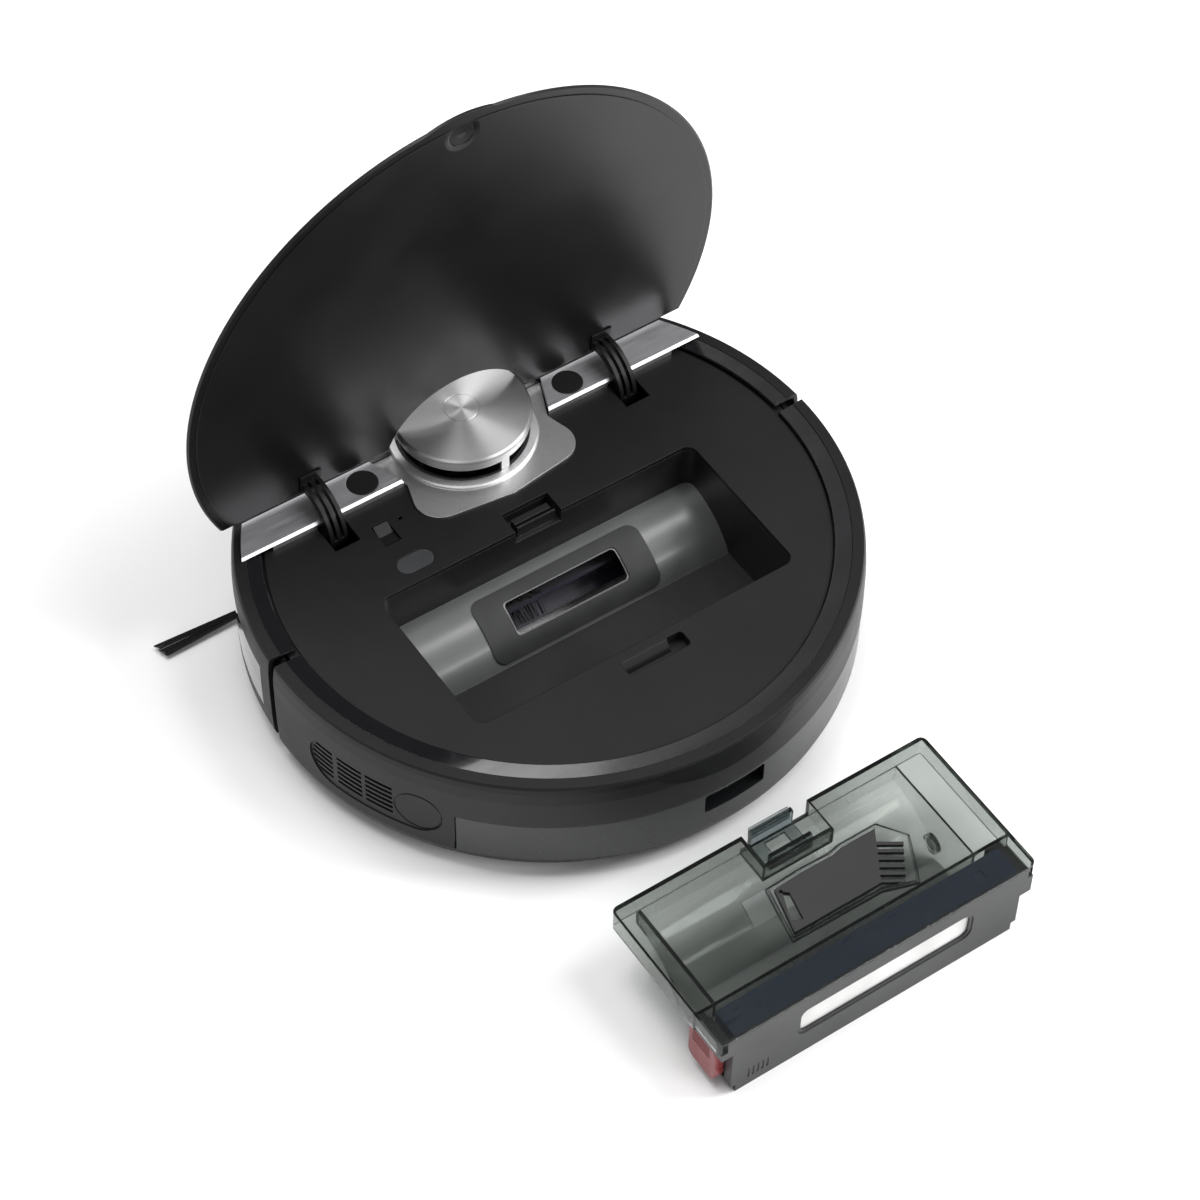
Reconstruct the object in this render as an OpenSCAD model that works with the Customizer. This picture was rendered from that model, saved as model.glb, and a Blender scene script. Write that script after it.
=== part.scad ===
// Robot vacuum cleaner with a flip-up lid, a scanner turret and a lift-out dust box.
// X runs along the hinge bar, +Y is the front of the robot, +Z is up, the floor is z = 0.
// The lid is drawn open and the dust box stands on the floor behind the robot.

/* [Body] */
// Outer radius of the round body
body_r = 175; // [160:1:190]
// Height of the flat rim around the deck
rim_z = 79; // [70:1:90]
// Height of the black deck under the lid
deck_z = 76; // [68:1:86]
// Radius of the recessed deck
deck_r = 156; // [140:1:165]
// Underside height of the base plate
base_z = 10; // [7:0.5:14]
// Wall thickness of the outer shells
wall_t = 2.5; // [2:0.1:4]
// Free travel of the bumper
bumper_travel = 3.5; // [2:0.5:4]

/* [Lid] */
// Radius of the lid
lid_r = 168.75; // [160:0.25:172]
// Angle of the open lid, measured from closed
lid_open = 86.4; // [70:0.1:110]
// Straight edge of the closed lid
lid_edge_y = 72.7; // [68:0.1:80]
// Hinge pin position along Y
pivot_y = 86.3; // [84:0.1:90]
// Hinge pin height
pivot_z = 70.9; // [66:0.1:74]
// Radius of the lid notch around the turret
notch_r = 47.4; // [44:0.2:50]
// Distance of the hinge arms from the middle
arm_x = 96; // [88:1:104]

/* [Turret] */
// Turret axis along Y
turret_y = 89; // [84:1:94]
// Radius of the turret cap
cap_r = 39.8; // [36:0.1:42]
// Height of the top of the cap
cap_z = 97; // [92:0.5:100]

/* [Bay and dust box] */
// Half the inner width of the bay
bay_w = 102.5; // [100:0.5:104]
// Rear inner face of the bay
bay_y0 = -89; // [-92:0.5:-86]
// Front inner face of the bay
bay_y1 = 11.5; // [10:0.5:14]
// Height of the bay floor
bay_z = 20.8; // [18:0.1:24]
// How far the dust box is carried back from the bay
carry = 220; // [215:1:240]
// Height of the dust box bottom when it is in the bay
seat_z = 21; // [20:0.5:24]
// Half the width of the dust box cover
box_w = 100.5; // [98:0.5:101.5]
// Half the width of the dust box tub
tub_w = 92; // [86:0.5:96]
// Height of the dust box
box_h = 53; // [48:0.5:54]

/* [Wheels and brushes] */
// Drive wheel radius
wheel_r = 35; // [30:0.5:36]
// Drive wheel position along X
wheel_x = 123; // [120:0.5:126]
// Drive wheel position along Y
wheel_y = -4; // [-8:1:0]
// Drive wheel width
wheel_w = 16; // [14:0.5:18]
// Main brush radius
brush_r = 19.5; // [17:0.5:20]
// Side brush reach
side_r = 82; // [60:1:84]

/* [Hidden] */
$fn = 96;
eps = 0.05;
arc_y = 10.4;
arc_z = 0.3;
arc_r = 44.7;
brush_y = 14;
brush_z = 20.5;
side_x = -116;
side_y = 96.5;
caster_y = 128;
susp_y = 44;
susp_z = 48;
pump_y = -139;
pump_z = 57.5;
magnet_y = -249;
magnet_z = 14;
tank_w = 133.2;
tank_z0 = 16.3;
tank_z1 = 46;
bar_z = 80.8;
fan_x = -129;
fan_y = -71;

// ---- helpers ----

module sector(r0, r1, z0, z1, a0, a1) {
  rotate([0, 0, a0])
    rotate_extrude(angle = a1 - a0, $fn = 300)
      translate([r0, z0]) square([r1 - r0, z1 - z0]);
}

module box(x0, x1, y0, y1, z0, z1) {
  translate([x0, y0, z0]) cube([x1 - x0, y1 - y0, z1 - z0]);
}

module soft_box(x0, x1, y0, y1, z0, z1, r) {
  translate([0, 0, z0]) linear_extrude(z1 - z0) rounded(x0, x1, y0, y1, r);
}

module rounded(x0, x1, y0, y1, r) {
  translate([x0 + r, y0]) square([x1 - x0 - 2 * r, y1 - y0]);
  translate([x0, y0 + r]) square([x1 - x0, y1 - y0 - 2 * r]);
  for (x = [x0 + r, x1 - r]) for (y = [y0 + r, y1 - r]) translate([x, y]) circle(r, $fn = 32);
}

module oval(x0, x1, y0, y1) {
  h = (y1 - y0) / 2;
  translate([x0 + h, y0]) square([x1 - x0 - 2 * h, y1 - y0]);
  for (x = [x0 + h, x1 - h]) translate([x, y0 + h]) circle(h, $fn = 48);
}

module along_x(x0, x1, r, fn = 64) {
  translate([x0, 0, 0]) rotate([0, 90, 0]) cylinder(h = x1 - x0, r = r, $fn = fn);
}

// A solid drawn in the Y-Z plane and pushed along X.
module side_solid(x0, x1) {
  translate([x0, 0, 0]) rotate([90, 0, 90]) linear_extrude(x1 - x0) children();
}

module opened() {
  translate([0, pivot_y, pivot_z]) rotate([-lid_open, 0, 0]) translate([0, -pivot_y, -pivot_z]) children();
}

module on_floor() {
  translate([0, -carry, -seat_z]) children();
}

module mirrored() {
  children();
  mirror([1, 0, 0]) children();
}

// ---- fixed structure ----

module base_plate() color([0.10, 0.10, 0.11]) {
  difference() {
    union() {
      intersection() {
        translate([0, 0, base_z]) cylinder(h = 2.5, r = 171.4, $fn = 180);
        box(-180, 180, -180, 1, 0, 30);
      }
      intersection() {
        translate([0, 0, base_z]) cylinder(h = 2.5, r = 166, $fn = 180);
        box(-180, 180, 0.9, 180, 0, 30);
      }
      translate([side_x, side_y, base_z]) cylinder(h = 5, r = 11);
    }
    translate([0, caster_y, 0]) cylinder(h = 30, r = 24);
    mirrored() box(112.5, 133.5, -46, 36, 0, 20);
    box(-82, 82, -9, 38, 0, 20);
    translate([side_x, side_y, 0]) cylinder(h = 30, r = 3.4);
    for (p = screw_spots()) translate([p[0], p[1], 0]) cylinder(h = 26, r = 3.2, $fn = 32);
    for (p = cliff_spots()) translate([p[0], p[1], 0]) rotate([0, 0, p[2]]) box(-8, 8, -4, 4, 0, 20);
    mirrored() box(22, 40, 88, 98, 0, base_z + 0.8);
  }
}

// Posts, wheel brackets, caster housing and the wall behind the bumper.
module inner_frame() color([0.10, 0.10, 0.11]) {
  difference() {
    union() {
      for (i = [0:5]) sector(163.5, 166, base_z + 2.55, 73.4, 1.5 + 29.6 * i, 29.6 + 29.6 * i);
      translate([0, caster_y, base_z + 2.55]) cylinder(h = 24.4, r = 26);
      translate([0, caster_y, base_z + 2.55]) cylinder(h = 33.4, r = 9);
      box(-2, 2, 150, 162.8, base_z + 2.55, 30);
      for (p = screw_spots()) translate([p[0], p[1], base_z + 2.55]) cylinder(h = 17, r = 4, $fn = 48);
      mirrored() box(149, 152, 38, 50, base_z + 2.55, 54);
      mirrored() box(128.6, 131.6, 38, 50, base_z + 2.55, 54);
      for (p = [[-70, 68], [70, 68], [-62, 112], [62, 112]])
        translate([p[0], p[1], base_z + 2.55]) cylinder(h = 37.3, r = 3.5, $fn = 48);
    }
    translate([0, caster_y, 0]) cylinder(h = 34.6, r = 24);
    translate([0, caster_y, 0]) cylinder(h = 80, r = 5.05);
    for (p = screw_spots()) translate([p[0], p[1], 0]) cylinder(h = 26, r = 1.5, $fn = 32);
  }
  mirrored() translate([0, susp_y, susp_z]) along_x(128.6, 152, 2.45);
}

function screw_spots() = [for (s = [-1, 1]) for (p = [[88, 118], [150, -45], [98, -97.5], [104, 76]])
  [s * p[0], p[1]]];
function cliff_spots() = [for (s = [-1, 1]) for (p = [[60, 140, -23], [154, 24, 90], [140, -88, 58]])
  [s * p[0], p[1], s * p[2]]];

module bay_outline() {
  soft_box(-bay_w - 2, bay_w + 2, bay_y0 - 2, bay_y1 + 2, bay_z - 2, 73.4, 8);
}

module brush_tunnel(r, w) {
  translate([0, arc_y, arc_z]) along_x(-w, w, r, 128);
}

module bay_frame() color([0.12, 0.12, 0.13]) {
  difference() {
    union() {
      bay_outline();
      intersection() {
        brush_tunnel(arc_r, bay_w + 2);
        box(-200, 200, -60, 70, 12.6, 60);
      }
      box(-16.5, 17.5, bay_y1, 28, 60, 73.4);
      box(-16.5, 17.5, bay_y1, 28, 60, 62);
    }
    // room for the dust box above the curved brush cover
    difference() {
      soft_box(-bay_w, bay_w, bay_y0, bay_y1, bay_z, 90, 6.5);
      brush_tunnel(arc_r, 200);
      box(-200, 200, 9.6, 30, 0, 45);
    }
    brush_tunnel(arc_r - 2, 84);
    mirrored() translate([0, arc_y, arc_z]) along_x(86.5, bay_w, arc_r - 2, 128);
    box(-200, -86, 13.6, 80, 0, 60);
    box(86, 200, 13.6, 80, 0, 60);
    // latch pocket in front of the bay
    box(-14.5, 15.5, bay_y1 - 3, 26, 66.5, 90);
    // dust mouth
    translate([0, arc_y, arc_z]) rotate([32, 0, 0]) soft_box(-33.5, 39.5, -9.5, 9.5, 30, 60, 2.6);
    // air exit towards the fan
    box(-46, 56, -120, bay_y0 + 1, 50, 64);
    // brush shaft bearings
    translate([0, brush_y, brush_z]) along_x(-110, 110, 4.05);
    box(-200, 200, -9, 38, 0, 12.7);
  }
  // catch bars in the latch pocket
  box(-11.5, 13.5, 14.3, 15.6, 61.5, 74.2);
  box(-11.5, 12, 17, 21, 61.5, 74.6);
}

module inlet_seal() color([0.30, 0.31, 0.32]) {
  difference() {
    intersection() {
      brush_tunnel(arc_r + 0.9, 200);
      translate([0, arc_y, arc_z]) rotate([34, 0, 0]) soft_box(-52, 58, -19.5, 19.5, 20, 60, 7);
      box(-200, 200, -60, 9.5, bay_z + 0.3, 60);
    }
    brush_tunnel(arc_r + 0.05, 201);
    translate([0, arc_y, arc_z]) rotate([32, 0, 0]) soft_box(-34.5, 40.5, -10.5, 10.5, 20, 62, 3);
  }
}

module rear_shell() color([0.075, 0.075, 0.08]) {
  difference() {
    union() {
      rotate([0, 0, 179.3])
        rotate_extrude(angle = 181.4, $fn = 180)
          polygon([[171.6, base_z], [173.2, base_z + 1.5], [174.4, 16], [174.9, 30], [body_r, 48],
            [174.8, 66], [174.2, 74], [173.6, 77.4], [172.7, rim_z], [166.4, rim_z], [166.4, 77.2],
            [171, 76.6], [172, 72], [172.3, 48], [172, 16], [171.5, base_z + 1]]);
      sector(168, 173, 56, 77, 246, 294);
    }
    // finger scoop under the lid tab
    difference() {
      box(-80, 80, -190, -155, 60, 77.3);
      translate([0, 58, 60]) cylinder(h = 17.4, r1 = 233.2, r2 = 230.2, $fn = 300);
    }
    // vent field with three groups of slots
    intersection() {
      sector(174.1, 185, 20, 62, 185, 222);
      vent_field(17.5);
    }
    // round cap beside the slots
    intersection() {
      sector(173.7, 185, 20, 62, 205, 222);
      rotate([0, 0, 213.2]) translate([100, 0, 40]) rotate([0, 90, 0]) difference() {
        cylinder(h = 100, r = 14.4);
        translate([0, 0, -1]) cylinder(h = 102, r = 13.4);
      }
    }
    intersection() {
      union() {
        for (g = [[189, 195.2], [196.3, 201.8], [202.6, 208.2]]) for (i = [0:5])
          sector(160, 180, 29 + 4.1 * i, 31.1 + 4.1 * i, g[0], g[1]);
      }
      vent_field(15.8);
    }
    // tank opening
    box(-tank_w - 0.5, tank_w + 0.5, -200, -90, 15.9, 46.5);
    box(-200, 200, 2.2, 200, 0, 100);
  }
}

module vent_field(h) {
  rotate([0, 0, 203.75]) translate([100, 0, 41]) rotate([0, 90, 0]) rotate([0, 0, 90])
    linear_extrude(100) oval(-25 - h, 25 + h, -h, h);
}

module rim_trim() color([0.05, 0.05, 0.055]) {
  rotate([0, 0, 179.3])
    rotate_extrude(angle = 181.4, $fn = 180)
      polygon([[deck_r + 0.4, 74.6], [deck_r + 0.4, 77.6], [deck_r + 1, 78.06],
        [166.3, 78.58], [166.3, 77.1]]);
}

module hinge_slots(z0, z1) {
  mirrored() box(arm_x - 8, arm_x + 8, 54, 93.5, z0, z1);
}

module top_deck() color([0.06, 0.06, 0.065]) {
  difference() {
    union() {
      translate([0, 0, 73.5]) cylinder(h = deck_z - 73.5, r = deck_r, $fn = 180);
      translate([0, 0, 73.5]) cylinder(h = 1, r = 162, $fn = 180);
      mirrored() for (x = [arm_x - 10.6, arm_x + 8.1]) box(x, x + 2.5, 80, 93, 64, 74);
      // cup under the finger slot
      soft_box(-20, 25, -108, -92, 67, 74, 4);
      // switch well
      box(-82, -66, 40, 60, 66, 74);
      // saddles for the pump motor
      for (x = [-14, 10]) box(x, x + 4, pump_y - 11, pump_y + 11, pump_z, 74);
    }
    translate([0, 0, 70]) linear_extrude(20) {
      rounded(-bay_w, bay_w, bay_y0, bay_y1, 6.5);
      translate([-14.5, bay_y1 - 1]) square([30, 15.5]);
    }
    difference() {
      translate([0, 0, 69]) linear_extrude(20) rounded(-17.5, 22.5, -105.3, -94.6, 2.6);
      side_solid(-18, 13) polygon([[-94, 68], [-94, 75.4], [-95.2, 75.4], [-100, 68.9], [-100, 68]]);
    }
    hinge_slots(70, 90);
    translate([0, turret_y, 60]) cylinder(h = 30, r = 36.5);
    translate([0, pivot_y, pivot_z]) along_x(-120, 120, 2.05);
    translate([-71, 24.5, 60]) linear_extrude(30) oval(-11.2, 11.2, -6.2, 6.2);
    box(-79, -69, 42, 58, 68, 90);
    translate([-62, 55, 60]) cylinder(h = 30, r = 1.2, $fn = 24);
    translate([0, pump_y, pump_z]) along_x(-20, 20, 8.06);
  }
  translate([0, 50, 72]) along_x(-80, -68, 1, 32);
}

module front_cover() color([0.05, 0.05, 0.055]) {
  difference() {
    union() {
      intersection() {
        translate([0, 0, 79.35]) cylinder(h = 1.45, r = 168.5, $fn = 180);
        box(-200, 200, 96.2, 200, 70, 90);
      }
      intersection() {
        translate([0, 0, deck_z + eps]) cylinder(h = 3.4, r = 151, $fn = 180);
        box(-200, 200, 96.2, 200, 70, 90);
      }
    }
    difference() {
      translate([0, 0, 70]) cylinder(h = 8, r = 148);
      box(-200, 200, 0, 98.4, 60, 90);
      translate([0, 138, 70]) cylinder(h = 9, r = 6);
    }
    translate([0, turret_y, 70]) cylinder(h = 20, r = cap_r + 3.8);
    for (x = [-22, 22]) translate([x, 143, 70]) cylinder(h = 20, r = 6.2);
    for (x = [-22, 22]) translate([x, 143, 70]) cylinder(h = 9.4, r = 7.4);
  }
}

module hinge_bar() color([0.62, 0.63, 0.65]) {
  difference() {
    union() {
      intersection() {
        side_solid(-160, 160) polygon([[73.2, 79.3], [74.6, bar_z], [95.7, bar_z], [95.7, 79.3]]);
        translate([0, 0, 70]) cylinder(h = 20, r = 168.4, $fn = 180);
      }
      intersection() {
        side_solid(-160, 160)
          polygon([[73.2, deck_z + eps], [73.2, 79.3], [95.7, 79.3], [95.7, deck_z + eps]]);
        translate([0, 0, 70]) cylinder(h = 20, r = 151, $fn = 180);
      }
    }
    // room for the turret base, and for the hinge hubs
    translate([0, 0, 70]) linear_extrude(20)
      polygon([[-47.5, 60], [47.5, 60], [47.5, 72], [58, 98], [-58, 98], [-47.5, 72]]);
    mirrored() translate([0, pivot_y, pivot_z]) along_x(arm_x - 8, arm_x + 8, 6.4);
    mirrored() box(arm_x - 8, arm_x + 8, 60, 94, 70, 77.6);
    for (x = [-68, 68]) translate([x, 84.6, bar_z - 1]) cylinder(h = 5, r = 9.1);
  }
}

module bar_caps() color([0.10, 0.10, 0.11]) {
  for (x = [-68, 68]) translate([x, 84.6, bar_z - 0.95])
    rotate_extrude($fn = 64) polygon([[0, 0], [9, 0], [9, 1], [8.5, 1.2], [0, 1.3]]);
}

// ---- turret ----

module base_outline() {
  difference() {
    union() {
      hull() {
        for (x = [-36, 36]) translate([x, 55]) circle(15, $fn = 48);
        translate([0, 38]) circle(3, $fn = 32);
        translate([-46.4, 71]) square([92.8, 1]);
      }
      polygon([[-46.4, 71], [46.4, 71], [46.4, 72], [56.6, 95.9], [-56.6, 95.9], [-46.4, 72]]);
    }
    translate([0, turret_y]) circle(36, $fn = 96);
  }
}

module turret_base() color([0.70, 0.71, 0.72]) {
  difference() {
    union() {
      translate([0, 0, deck_z + eps]) linear_extrude(1.1) base_outline();
      translate([0, turret_y, 0])
        rotate_extrude($fn = 96)
          polygon([[36, deck_z + eps], [43.4, deck_z + eps], [43.2, 78.2],
            [42.2, 78.8], [38.4, 79.4], [36, 78.4]]);
    }
    translate([0, turret_y, 60]) cylinder(h = 40, r = 36);
  }
}

module turret_cap() color([0.72, 0.73, 0.74]) {
  translate([0, turret_y, 0]) {
    rotate_extrude($fn = 96)
      polygon([[0, cap_z - 2.6], [36, cap_z - 3.6], [37.6, 87.6], [38.6, 87.6], [cap_r, 93.8],
        [cap_r - 0.3, 95.2], [cap_r - 1.4, 96], [10.4, cap_z - 0.1], [10.2, cap_z - 0.5],
        [9.6, cap_z - 0.5], [9.4, cap_z], [0, cap_z + 0.1]]);
    for (a = [-83, 37, 157]) sector(36.3, 38.4, 79.5, 94, a - 4.2, a + 4.2);
  }
}

module lidar_base() color([0.15, 0.15, 0.16]) {
  translate([0, turret_y, 0]) {
    translate([0, 0, 60]) cylinder(h = 3, r = 34);
    translate([0, 0, 60]) cylinder(h = 22, r = 3);
    difference() {
      union() {
        translate([0, 0, 60]) cylinder(h = 16, r = 35.9);
        translate([0, 0, 71.4]) cylinder(h = 2, r = 41);
      }
      translate([0, 0, 62]) cylinder(h = 20, r = 33);
    }
  }
}

module lidar_rotor() color([0.04, 0.04, 0.05]) {
  translate([0, turret_y, 0]) difference() {
    union() {
      translate([0, 0, 64]) cylinder(h = 6, r = 31);
      translate([0, 0, 70]) cylinder(h = 21.4, r = 29);
    }
    translate([0, 0, 50]) cylinder(h = 34, r = 3.05);
    translate([0, 0, 80]) box(8, 40, -9, 9, 0, 8);
    translate([0, 0, 80]) box(-2, 40, 12, 20, 0, 8);
  }
}

// ---- lid, drawn closed and then opened ----

module lid_half(y) {
  box(-200, 200, -200, y, 60, 100);
}

module lid_panel() color([0.05, 0.05, 0.055]) opened() {
  difference() {
    intersection() {
      union() {
        rotate_extrude($fn = 180)
          polygon([[0, 79.3], [167.7, 79.3], [lid_r, 80.1], [168.5, 80.8], [167.2, 81.2], [0, 81.5]]);
        // finger tab
        translate([0, -110.2, 79.3]) cylinder(h = 1.7, r = 60.3, $fn = 180);
      }
      lid_half(lid_edge_y);
    }
    translate([0, 87, 60]) cylinder(h = 40, r = notch_r);
    thumb_dent();
  }
}

module lid_liner() color([0.045, 0.045, 0.05]) opened() {
  difference() {
    intersection() {
      translate([0, 0, 78.75]) cylinder(h = 0.5, r = 163.4, $fn = 180);
      lid_half(lid_edge_y - 1.6);
    }
    thumb_dent();
    translate([0, 87, 60]) cylinder(h = 40, r = notch_r + 2);
    mirrored() box(arm_x - 7, arm_x + 7, 57.5, 80, 70, 90);
  }
}

module thumb_dent() {
  translate([0, -157, 19.7]) sphere(60, $fn = 128);
}

module arm_profile() {
  difference() {
    translate([pivot_y, pivot_z]) circle(23, $fn = 96);
    translate([pivot_y, pivot_z]) circle(17.6, $fn = 96);
    translate([pivot_y, pivot_z]) polygon([[0, 0], [60, -11], [60, 60], [-34, 60], [-34, 19]]);
    translate([0, 79.25]) square([200, 50]);
  }
}

module lid_arms() color([0.06, 0.06, 0.065]) opened() {
  mirrored() {
    difference() {
      union() {
        for (i = [-1:1]) side_solid(arm_x + 4.3 * i - 1.2, arm_x + 4.3 * i + 1.2) {
          arm_profile();
          translate([pivot_y, pivot_z]) polygon([[-1, 0], [3.6, 0], [4, -20], [-1, -20]]);
        }
        box(arm_x - 6.5, arm_x + 6.5, 58, 71, 77.6, 79.25);
        translate([0, pivot_y, pivot_z]) along_x(arm_x - 6, arm_x + 6, 4.9);
        intersection() {
          side_solid(arm_x - 5.5, arm_x + 5.5) arm_profile();
          box(0, 200, 84, 95, 40, 56);
        }
      }
      translate([0, pivot_y, pivot_z]) along_x(0, 140, 2.06);
    }
  }
}

// ---- bumper ----

module bumper_shell() color([0.075, 0.075, 0.08]) {
  difference() {
    rotate([0, 0, 2.5])
      rotate_extrude(angle = 175, $fn = 180)
        polygon([[171, 13], [173.2, 13.4], [174.5, 18], [174.9, 30], [body_r, 46], [174.8, 66], [174.2, 74],
          [173.6, 77.4], [172.5, rim_z], [166.4, rim_z], [166.2, 78.58],
          [158, 78.12], [157.4, 77.7], [157.4, 76.35], [166.2, 77.2],
          [171, 76.6], [172.2, 72], [172.4, 46], [172.2, 18]]);
    sector(174.1, 180, 27, 62, 6, 174);
  }
}

module bumper_window() color([0.03, 0.03, 0.035]) {
  difference() {
    rotate([0, 0, 6.2])
      rotate_extrude(angle = 167.6, $fn = 180)
        polygon([[174.15, 27.2], [174.7, 27.2], [174.9, 46], [174.7, 61.8], [174.15, 61.8]]);
    for (a = [35, 90, 145])
      rotate([0, 0, a]) translate([160, 0, 40]) rotate([0, 90, 0]) cylinder(h = 14.3, r = 4, $fn = 32);
  }
}

// ---- inside the body ----

module air_duct() color([0.16, 0.16, 0.17]) {
  difference() {
    union() {
      box(-116, 58, -105, -91.2, 48, 66.5);
      box(-116, -106, -105, -92, 48, 66.5);
    }
    box(-114, 56, -103.4, -93, 49.6, 65);
    box(-46, 56, -95, -80, 50, 64);
    box(-114, -108, -94, -80, 49.6, 65);
  }
}

module fan_housing() color([0.14, 0.14, 0.15]) {
  translate([fan_x, fan_y, 0]) {
    difference() {
      union() {
        translate([0, 0, 12.6]) cylinder(h = 51.4, r = 20);
        box(-24, -10, -6, 8, 40, 60);
      }
      translate([0, 0, 38]) cylinder(h = 24, r = 18.2);
      translate([0, 0, 16]) cylinder(h = 20, r = 12);
      translate([0, 0, 60]) cylinder(h = 10, r = 9);
      box(-25, -12, -4.4, 6.4, 41.6, 58.4);
    }
    translate([0, 0, 15]) cylinder(h = 30, r = 2);
  }
}

module fan_impeller() color([0.55, 0.56, 0.58]) {
  translate([fan_x, fan_y, 0]) difference() {
    union() {
      translate([0, 0, 39]) cylinder(h = 1.6, r = 17);
      translate([0, 0, 39]) cylinder(h = 14, r = 5);
      for (i = [0:8]) rotate([0, 0, 40 * i]) box(4, 16.6, -0.6, 0.6, 40, 54);
    }
    translate([0, 0, 30]) cylinder(h = 17, r = 2.05);
  }
}

module battery_pack() color([0.20, 0.24, 0.30]) {
  soft_box(106.5, 138, -92, -52, 12.6, 64, 4);
}

module main_board() color([0.06, 0.22, 0.13]) {
  difference() {
    intersection() {
      translate([0, 0, 50]) cylinder(h = 1.6, r = 154);
      box(-80, 80, 56, 150, 40, 60);
    }
    translate([0, turret_y, 40]) cylinder(h = 20, r = 3.4);
  }
  box(-50, -30, 70, 90, 51.6, 54);
  box(20, 44, 66, 84, 51.6, 55);
  for (x = [-60, -44, 44, 60]) translate([x, 112, 51.6]) cylinder(h = 7, r = 3.4, $fn = 32);
}

module brush_frame() color([0.13, 0.13, 0.14]) {
  difference() {
    soft_box(-94, 94, -17, 46, 7.6, 9.95, 6);
    soft_box(-78, 78, -7, 35, 0, 20, 3);
    for (x = [-88, 88]) translate([x, 30, 0]) cylinder(h = 30, r = 2, $fn = 32);
  }
  for (x = [-88, 88]) difference() {
    box(x - 4, x + 4, -10, 10, 5.4, 7.6);
    box(x - 5, x + 5, -2, 2, 0, 6.4);
  }
}

module brush_gearboxes() color([0.17, 0.17, 0.18]) {
  difference() {
    box(86.6, 94, 4, 62, 12.6, 42);
    translate([0, brush_y, brush_z]) along_x(80, 92, 4.05);
  }
  // gearbox of the side brush
  translate([side_x, side_y, 0]) difference() {
    translate([0, 0, 15.1]) cylinder(h = 24, r = 11.4);
    translate([0, 0, 10]) cylinder(h = 18, r = 3.05);
  }
}

module brush_motor() color([0.45, 0.46, 0.48]) {
  translate([0, 48, 29]) along_x(94.05, 111, 12);
}

module main_brush_core() color([0.12, 0.12, 0.13]) {
  translate([0, brush_y, brush_z]) {
    along_x(-72, 72, 8);
    along_x(-85, 91, 4);
    for (x = [-74, 71.5]) along_x(x, x + 2.5, 14);
  }
}

module main_brush_fins() color([0.45, 0.10, 0.10]) {
  translate([0, brush_y, brush_z]) difference() {
    for (i = [0:5]) rotate([60 * i, 0, 0]) box(-71.4, 71.4, -0.9, 0.9, 5, brush_r);
    along_x(-100, 100, 8.05);
  }
}

module side_brush_hub() color([0.12, 0.12, 0.13]) {
  translate([side_x, side_y, 0]) {
    translate([0, 0, 4.4]) cylinder(h = 4.6, r = 12);
    translate([0, 0, 3.4]) cylinder(h = 1.2, r = 6);
    translate([0, 0, 4.4]) cylinder(h = 22, r = 3);
    for (i = [0:2]) rotate([0, 0, 177.9 + 120 * i]) box(10, 24, -3, 3, 4.6, 8.2);
  }
}

module side_brush_bristles() color([0.08, 0.08, 0.08]) {
  translate([side_x, side_y, 0])
    for (i = [0:2]) rotate([0, 0, 177.9 + 120 * i])
      side_tuft();
}

module side_tuft() {
  translate([0, 0, 2.2]) linear_extrude(2.3)
    polygon([[24.1, -1.6], [60, -2.2], [side_r, -5.6], [side_r - 2.5, 5.2], [60, 2.2], [24.1, 1.6]]);
}

module cliff_windows() color([0.04, 0.04, 0.05]) {
  for (p = cliff_spots())
    translate([p[0], p[1], 0]) rotate([0, 0, p[2]]) box(-7.9, 7.9, -3.9, 3.9, base_z + 0.2, 12.5);
}

module charge_contacts() color([0.75, 0.70, 0.55]) {
  mirrored() soft_box(22.2, 39.8, 88.2, 97.8, base_z - 0.4, base_z + 0.75, 2);
}

module screws_and_pins() color([0.65, 0.66, 0.68]) {
  mirrored() translate([0, pivot_y, pivot_z]) along_x(arm_x - 10.5, arm_x + 10.5, 2);
  for (p = screw_spots()) translate([p[0], p[1], 0]) difference() {
    union() {
      translate([0, 0, 10.4]) cylinder(h = 2, r = 3, $fn = 32);
      translate([0, 0, 10.4]) cylinder(h = 14, r = 1.45, $fn = 24);
    }
    box(-1.9, 1.9, -0.4, 0.4, 10, 11.3);
    box(-0.4, 0.4, -1.9, 1.9, 10, 11.3);
  }
}

module pump_motor() color([0.5, 0.5, 0.52]) {
  translate([0, pump_y, pump_z]) {
    along_x(-17, 17, 8);
    along_x(17, 24, 3);
  }
}

// ---- drive wheels ----

module gearbox() {
  difference() {
    union() {
      side_solid(133.4, 148.4)
        polygon([[-20, 28], [-26, 34], [-26, 52], [-18, 60], [20, 60], [50, 54], [50, 42], [38, 36], [20, 28]]);
      translate([0, wheel_y, wheel_r]) along_x(117, 134, 3);
      translate([0, wheel_y, wheel_r]) along_x(131.6, 134, 9);
    }
    translate([0, susp_y, susp_z]) along_x(120, 160, 2.55);
  }
}

module hub() {
  translate([0, wheel_y, wheel_r]) difference() {
    along_x(wheel_x - 7, wheel_x + 7, 28.9, 96);
    along_x(wheel_x - 9, wheel_x - 4, 24, 96);
    along_x(100, 140, 3.05);
    for (i = [0:4]) rotate([72 * i, 0, 0]) translate([0, 0, 15]) along_x(100, 140, 5, 32);
  }
  translate([0, wheel_y, wheel_r]) difference() {
    along_x(wheel_x - 7, wheel_x - 3.9, 7);
    along_x(100, 140, 3.05);
  }
}

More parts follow.
